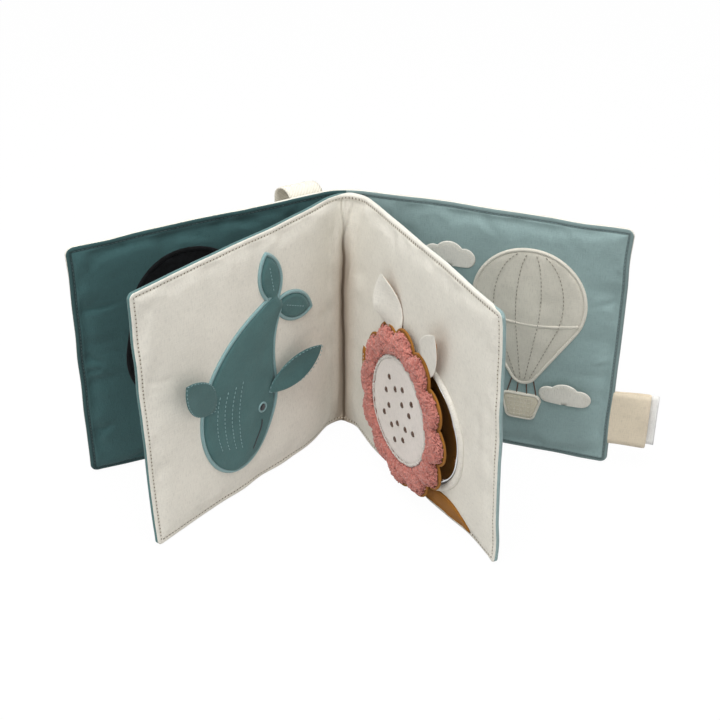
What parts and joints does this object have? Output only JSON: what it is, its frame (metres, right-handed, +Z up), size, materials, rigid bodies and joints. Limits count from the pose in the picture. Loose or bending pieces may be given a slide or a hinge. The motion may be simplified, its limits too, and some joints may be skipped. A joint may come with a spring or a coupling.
{
  "type": "cloth book",
  "caption": "Soft padded cloth book standing open like a fan, with hemmed fabric panels, sewn-on motifs, loose flaps, a round mirror under a fleece flower and a carrying loop.",
  "frame": {"origin": "middle of the spine strip's lower edge, on the ground", "axes": "+Z up along the spine, +Y out of the spine's back and away from the reader, +X to the reader's right, towards the back cover"},
  "size_m": [0.3832, 0.1862, 0.1843],
  "materials": {
    "cream_cloth": "matte cotton jersey",
    "teal_cloth": "matte cotton",
    "dark_teal_cloth": "matte cotton",
    "sky_blue_cloth": "matte cotton",
    "pale_teal_thread": "satin thread",
    "cream_thread": "satin thread",
    "mustard_cloth": "matte cotton",
    "pink_pile": "curly fleece",
    "white_cloth": "smooth cotton",
    "grey_cream_cloth": "matte cotton",
    "black_cloth": "short velvet pile",
    "cream_webbing": "woven ribbon",
    "wadding": "loose fibre",
    "mirror_film": "bright flexible mirror film"
  },
  "bodies": {
    "pages": {"spine_strip": "cream_cloth", "spine_seam": "cream_cloth", "left_leaf_front": "cream_cloth", "left_leaf_back": "teal_cloth", "left_leaf_wadding": "wadding", "right_leaf_front": "cream_cloth", "right_leaf_back": "sky_blue_cloth", "right_leaf_wadding": "wadding", "whale_body": "teal_cloth", "whale_border": "pale_teal_thread", "whale_upper_fin": "teal_cloth", "whale_lower_fin": "teal_cloth", "mirror_film": "mirror_film", "mirror_rim": "cream_cloth", "ground_patch": "mustard_cloth", "flap_tab": "mustard_cloth", "flap_backing": "mustard_cloth", "flap_pile": "pink_pile", "flap_middle": "white_cloth", "flap_upper_leaf": "cream_cloth", "flap_side_leaf": "cream_cloth"},
    "front_cover": {"front_cover_outer": "cream_cloth", "front_cover_lining": "dark_teal_cloth", "front_cover_wadding": "wadding", "oval_patch": "black_cloth", "oval_border": "black_cloth", "carrying_loop": "cream_webbing"},
    "back_cover": {"back_cover_outer": "cream_cloth", "back_cover_lining": "sky_blue_cloth", "back_cover_wadding": "wadding", "balloon": "grey_cream_cloth", "balloon_border": "cream_thread", "basket": "cream_thread", "upper_cloud": "cream_cloth", "lower_cloud": "cream_cloth", "side_label": "cream_webbing", "care_label": "white_cloth"}
  },
  "joints": [
    {"name": "front_cover_hinge", "type": "hinge", "parent": "pages", "child": "front_cover", "pos_m": [-0.009, 0, 0], "axis": [0, 0, 1], "range_deg": [-102.5, 22.5]},
    {"name": "back_cover_hinge", "type": "hinge", "parent": "pages", "child": "back_cover", "pos_m": [0.009, 0, 0], "axis": [0, 0, 1], "range_deg": [-38, 95]}
  ]
}
